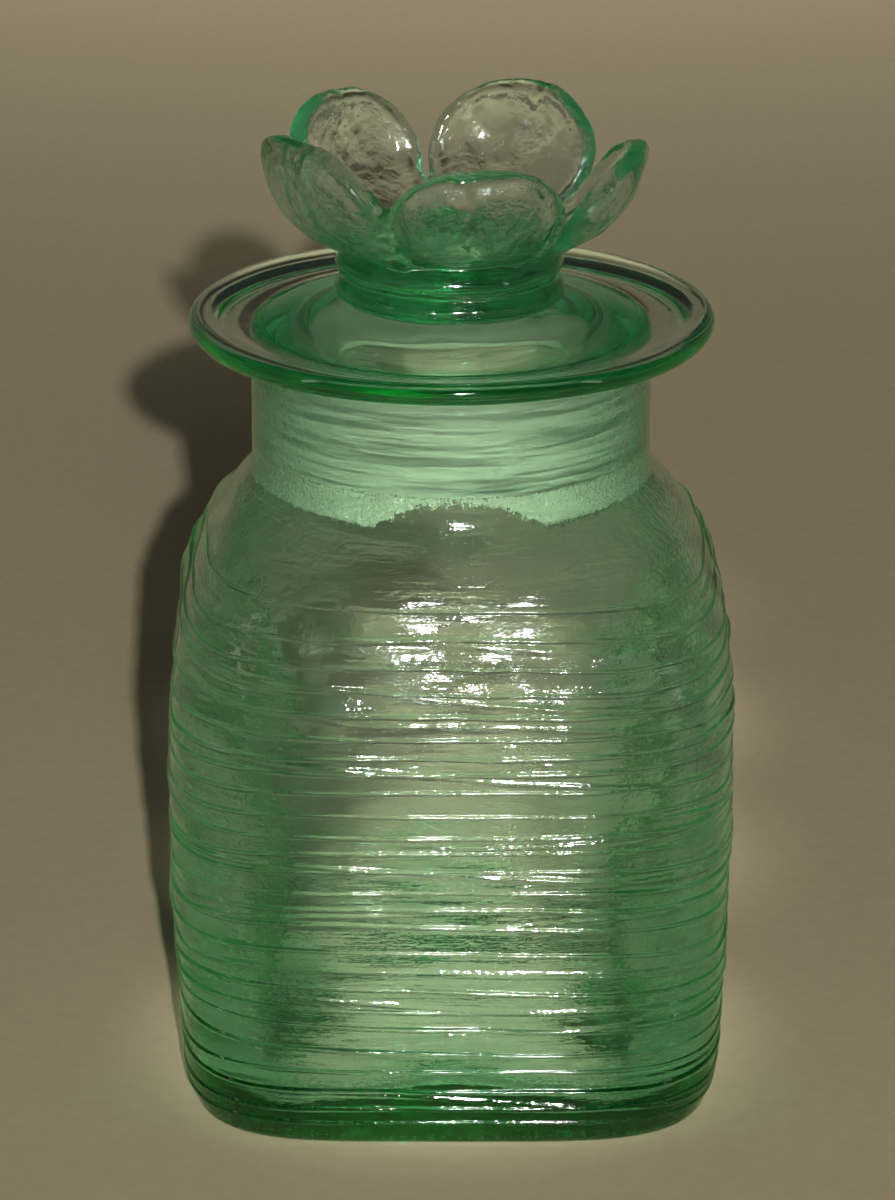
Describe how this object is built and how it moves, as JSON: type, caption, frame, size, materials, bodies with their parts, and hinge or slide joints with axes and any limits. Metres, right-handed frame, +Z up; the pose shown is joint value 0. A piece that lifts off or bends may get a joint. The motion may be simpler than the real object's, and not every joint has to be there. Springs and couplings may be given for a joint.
{
  "type": "specimen jar",
  "caption": "Rounded-square glass storage jar with trailed glass thread round the body, a ground neck and a flanged, hollow ground stopper with a flower knob.",
  "frame": {"origin": "on the table, under the middle of the jar", "axes": "+Z up along the jar and the stopper, -Y out of the jar's front face, +X to the right seen from the front"},
  "size_m": [0.1162, 0.1162, 0.1992],
  "materials": {
    "jar_glass": "clear blown glass, pale green, ground inside the neck",
    "thread_glass": "clear trailed glass, fire polished",
    "stopper_glass": "clear blown glass, plug ground outside",
    "knob_glass": "solid glass, deep green where thick",
    "petal_glass": "pinched glass with a crinkled skin"
  },
  "bodies": {
    "jar": {"jar_base": "jar_glass", "jar_walls": "jar_glass", "jar_neck": "jar_glass", "thread_trail_shoulder": "thread_glass", "thread_trail_middle": "thread_glass", "thread_trail_lower": "thread_glass"},
    "stopper": {"stopper_body": "stopper_glass", "knob_collar_lower": "knob_glass", "knob_collar_upper": "knob_glass", "flower_cup": "knob_glass", "petal_front": "petal_glass", "petal_right": "petal_glass", "petal_back_right": "petal_glass", "petal_back_left": "petal_glass", "petal_left": "petal_glass"}
  },
  "joints": [
    {"name": "stopper_lift", "type": "slide", "parent": "jar", "child": "stopper", "axis": [0, 0, 1], "range_m": [0, 0.065]}
  ]
}
